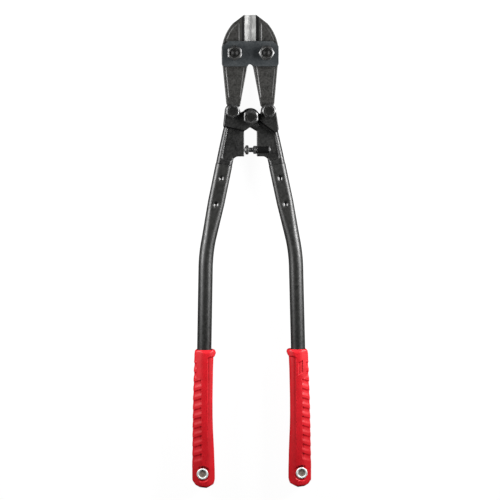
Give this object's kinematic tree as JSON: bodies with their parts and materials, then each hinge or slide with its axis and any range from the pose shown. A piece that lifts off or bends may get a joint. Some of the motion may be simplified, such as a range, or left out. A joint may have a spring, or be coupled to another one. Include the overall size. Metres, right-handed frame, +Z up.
{
  "type": "bolt cutters",
  "caption": "Long-handled centre-cut bolt cutters: forged jaws between strap plates, linked forged arms with a stop screw, and bent tubular handles with ribbed grips.",
  "frame": {"origin": "on the rest face, at the centre of the length and width of the closed tool", "axes": "+Y towards the jaw tips, +X to the right and +Z up out of the rest face, seen from the front"},
  "size_m": [0.1918, 0.758, 0.0404],
  "materials": {
    "jaw_steel": "forged and blackened, with ground bevels at the cutting edges",
    "strap_steel": "blued satin plate",
    "fastener": "black oxide, bright on the chamfers",
    "arm_steel": "black powder coat over forged steel",
    "tube_paint": "dark grey satin powder coat on steel tube",
    "grip_rubber": "moulded red grip, satin",
    "rivet_zinc": "zinc plated"
  },
  "bodies": {
    "head": {"strap_front": "strap_steel", "strap_rear": "strap_steel", "strap_bolt_left": "fastener", "strap_bolt_right": "fastener", "strap_nut_left": "fastener", "strap_nut_right": "fastener"},
    "jaw_left": {"jaw_left": "jaw_steel"},
    "jaw_right": {"jaw_right": "jaw_steel"},
    "arm_left": {"arm_left": "arm_steel", "tube_left": "tube_paint", "grip_left": "grip_rubber", "grip_rivet_left": "rivet_zinc", "jaw_bolt_left": "fastener", "jaw_nut_left": "fastener", "centre_bolt": "fastener", "centre_nut": "fastener"},
    "arm_right": {"arm_right": "arm_steel", "tube_right": "tube_paint", "grip_right": "grip_rubber", "grip_rivet_right": "rivet_zinc", "jaw_bolt_right": "fastener", "jaw_nut_right": "fastener", "stop_lock_nut": "fastener"},
    "stop": {"stop_screw": "fastener"}
  },
  "joints": [
    {"name": "jaw_left_hinge", "type": "hinge", "parent": "head", "child": "jaw_left", "pos_m": [-0.0255, 0.318, 0.018], "axis": [0, 0, 1], "range_deg": [0, 8.6]},
    {"name": "jaw_right_hinge", "type": "hinge", "parent": "head", "child": "jaw_right", "pos_m": [0.0255, 0.318, 0.018], "axis": [0, 0, -1], "range_deg": [0, 8.6]},
    {"name": "handle_left", "type": "hinge", "parent": "jaw_left", "child": "arm_left", "pos_m": [-0.029, 0.2256, 0.018], "axis": [0, 0, -1], "range_deg": [0, 53]},
    {"name": "handle_right", "type": "hinge", "parent": "jaw_right", "child": "arm_right", "pos_m": [0.029, 0.2256, 0.018], "axis": [0, 0, 1], "range_deg": [0, 53]},
    {"name": "stop_adjust", "type": "slide", "parent": "arm_right", "child": "stop", "axis": [1, 0, 0], "range_m": [0, 0.006]}
  ],
  "couplings": [
    {"joint": "handle_right", "follows": "handle_left", "ratio": 1},
    {"joint": "jaw_left_hinge", "follows": "handle_left", "ratio": 0.1617},
    {"joint": "jaw_right_hinge", "follows": "handle_left", "ratio": 0.1617}
  ]
}
